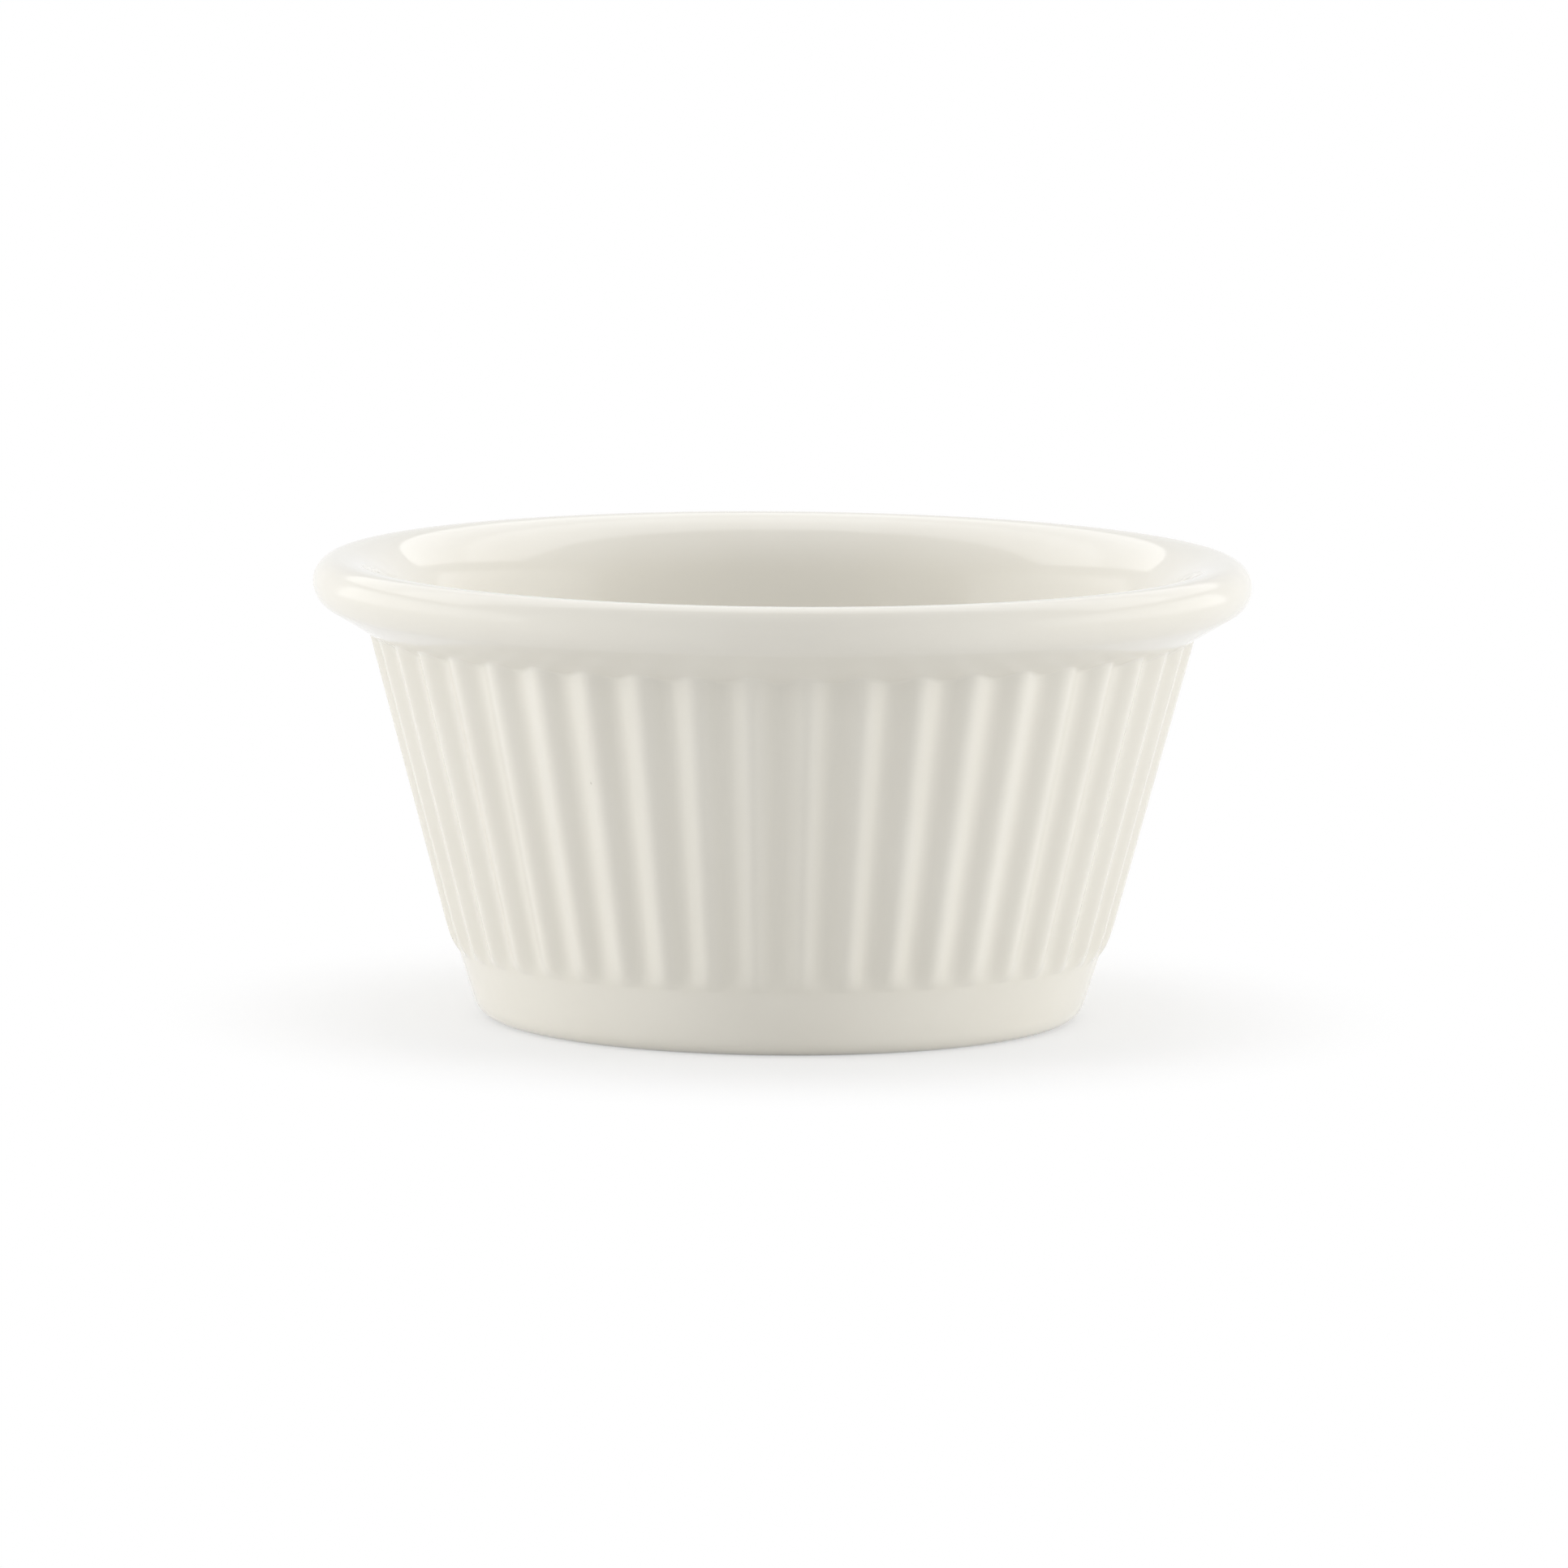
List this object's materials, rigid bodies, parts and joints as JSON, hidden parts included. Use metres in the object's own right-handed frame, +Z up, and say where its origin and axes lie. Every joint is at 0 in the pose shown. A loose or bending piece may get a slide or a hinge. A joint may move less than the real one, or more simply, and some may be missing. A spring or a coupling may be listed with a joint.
{
  "type": "ramekin",
  "caption": "Small round fluted baking dish: tapered ribbed wall, rolled overhanging rim, smooth hollow inside and a plain foot band that it stands on.",
  "frame": {"origin": "centre of the foot, on the plane that the dish stands on", "axes": "+Z up along the axis of the dish; -Y faces the viewer, with a flute between two ribs there"},
  "size_m": [0.09, 0.09, 0.0441],
  "materials": {
    "glazed_porcelain": "glossy off-white glaze"
  },
  "bodies": {
    "root": {"ramekin_body": "glazed_porcelain"}
  },
  "joints": []
}
